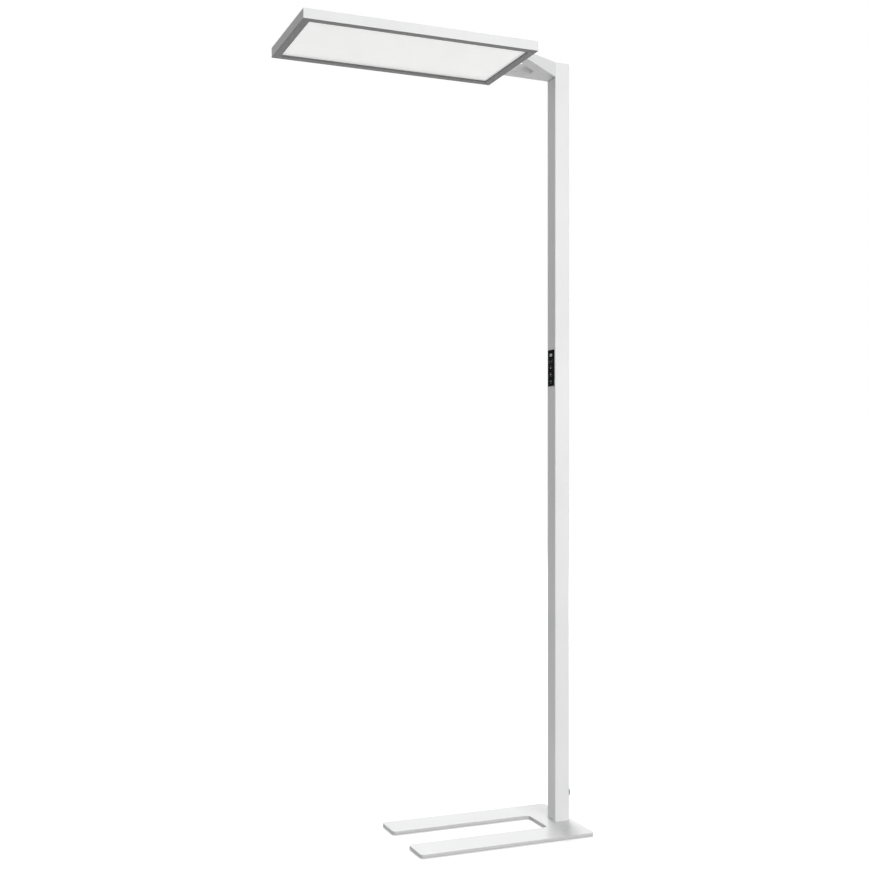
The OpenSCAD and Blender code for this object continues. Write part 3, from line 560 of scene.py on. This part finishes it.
# Ends of neighbouring segments stand this far apart
SEGMENT_GAP = 0.12
SEGMENTS = {"0": "abcdef", "5": "acdfg"}
MARK_X, MARK_PITCH, MARK_LINE = -6.1, 1.5, 0.55
MARK_LENGTHS = (1.1, 0.8, 0.5)


def segment(x, z, length, upright):
    """One pointed segment of a digit."""
    half, line = (length - SEGMENT_GAP) / 2, DIGIT_LINE / 2
    upper = [(-half, 0), (line - half, line), (half - line, line), (half, 0)]
    outline = upper + [(a, -b) for a, b in upper[2:0:-1]]
    return [(x - b, z + a) if upright else (x + a, z + b) for a, b in outline]


def digit(reading, x, figure):
    w, h = DIGIT_W - DIGIT_LINE, (DIGIT_H - DIGIT_LINE) / 2
    places = {
        "a": (x, h, w, False), "g": (x, 0, w, False), "d": (x, -h, w, False),
        "f": (x - w / 2, h / 2, h, True), "b": (x + w / 2, h / 2, h, True),
        "e": (x - w / 2, -h / 2, h, True), "c": (x + w / 2, -h / 2, h, True),
    }
    for letter in SEGMENTS[figure]:
        reading.fill(segment(*places[letter]), SEGMENT)


def display_reading():
    """A clock reading, with three small level marks at its left."""
    reading = Print("display", "reading", PRINT_T / 2, (SEGMENT,))
    x = FIRST_DIGIT_X
    for figure in "00:55":
        if figure == ":":
            for z in (COLON_Z, -COLON_Z):
                reading.dot(x - DIGIT_W / 2 + 0.05, z, COLON_DOT, SEGMENT)
            x += COLON_W
        else:
            digit(reading, x, figure)
            x += DIGIT_PITCH
    for row, length in enumerate(MARK_LENGTHS):
        z = MARK_PITCH * (1 - row)
        reading.stroke([(MARK_X, z), (MARK_X + length, z)], MARK_LINE, SEGMENT)
    reading.done(ROOT)


display_reading()


# Stage: floor, world, light and camera

def seen_directly(f):
    """1 for camera, mirror and glass rays, 0 for the light that reaches the lamp."""
    path = f.add("LightPath")
    both = f.add("Math", operation="MAXIMUM")
    f.link(path.outputs["Is Camera Ray"], both.inputs[0])
    f.link(path.outputs["Is Glossy Ray"], both.inputs[1])
    every = f.add("Math", operation="MAXIMUM")
    f.link(both.outputs[0], every.inputs[0])
    f.link(path.outputs["Is Transmission Ray"], every.inputs[1])
    return every.outputs[0]


FLOOR_HALF = 30.0
FLOOR_LEVEL = 0.42
FLOOR_SEEN_LEVEL = 0.85
# The floor's own white: low round the lamp so that shadows show, higher where the lights fall off
LIFT_NEAR, LIFT_FAR = 0.30, 0.66
NEAR_RADIUS, FAR_RADIUS = 1.5, 5.0


def floor():
    """A plain pale floor: white to the eye, grey to the light it throws back, with the lamp's shadow."""
    mesh = bmesh.new()
    bmesh.ops.create_grid(mesh, x_segments=4, y_segments=4, size=FLOOR_HALF)
    data = bpy.data.meshes.new("floor")
    mesh.to_mesh(data)
    mesh.free()
    plane = bpy.data.objects.new("floor", data)
    bpy.context.scene.collection.objects.link(plane)
    f = Finish("floor_white", Roughness=0.9, Specular_IOR_Level=0.0, Emission_Color=(1, 1, 1, 1))
    seen = seen_directly(f)
    f.colour(f.mix(seen, grey(FLOOR_LEVEL), grey(FLOOR_SEEN_LEVEL)))
    distance = f.add("VectorMath", operation="LENGTH")
    f.link(f.place(), distance.inputs[0])
    lift = f.span(distance.outputs["Value"], LIFT_NEAR, LIFT_FAR, NEAR_RADIUS, FAR_RADIUS)
    f.link(f.times(seen, lift), f.shader.inputs["Emission Strength"])
    data.materials.append(f.material)


# Strength of the world's light at the horizon and overhead
DOME_LOW, DOME_HIGH = 0.28, 0.50


def world():
    """White where it is seen, and a soft dome, brighter overhead, where it lights."""
    made = bpy.data.worlds.new("studio")
    bpy.context.scene.world = made
    made.use_nodes = True
    f = Shading(made.node_tree)
    sky = f.tree.nodes["Background"]
    height = f.add("SeparateXYZ")
    f.link(f.add("TexCoord").outputs["Generated"], height.inputs["Vector"])
    dome = f.span(height.outputs["Z"], DOME_LOW, DOME_HIGH, 0, 1)
    strength = f.add("Mix", {"B": 1.0}, data_type="FLOAT")
    f.link(seen_directly(f), strength.inputs["Factor"])
    f.link(dome, strength.inputs["A"])
    f.link(strength.outputs["Result"], sky.inputs["Strength"])
    sky.inputs["Color"].default_value = (1, 1, 1, 1)


def area_light(name, place, aim, size, power):
    """A soft panel of this width and height, turned to its aim."""
    data = bpy.data.lights.new(name, "AREA")
    data.shape = "RECTANGLE"
    data.size, data.size_y = size
    data.energy = power
    lamp = bpy.data.objects.new(name, data)
    lamp.location = place
    lamp.rotation_euler = (Vector(aim) - Vector(place)).to_track_quat("-Z", "Y").to_euler()
    bpy.context.scene.collection.objects.link(lamp)


# Place, aim, width and height, and power of each light
LIGHTS = {
    "key": ((3.6, 0.4, 1.9), (0, 0.1, 1.0), (2.4, 2.4), 98),
    "fill": ((-5.0, 1.9, 5.2), (0, 0.2, 0.8), (2.1, 2.1), 365),
}
CAMERA_PLACE = (2.845, -1.107, 0.934)
CAMERA_AHEAD = (-0.924, 0.383, 0.0)
CAMERA_LENS = 51.1
CAMERA_SHIFT = (-0.030, 0.0286)


def camera():
    data = bpy.data.cameras.new("camera")
    data.sensor_width = 36
    data.lens = CAMERA_LENS
    data.shift_x, data.shift_y = CAMERA_SHIFT
    data.clip_end = 200
    eye = bpy.data.objects.new("camera", data)
    eye.location = CAMERA_PLACE
    eye.rotation_euler = Vector(CAMERA_AHEAD).to_track_quat("-Z", "Y").to_euler()
    bpy.context.scene.collection.objects.link(eye)
    bpy.context.scene.camera = eye


floor()
world()
for name, setting in LIGHTS.items():
    area_light(name, *setting)
camera()
bpy.context.scene.view_settings.view_transform = "Standard"
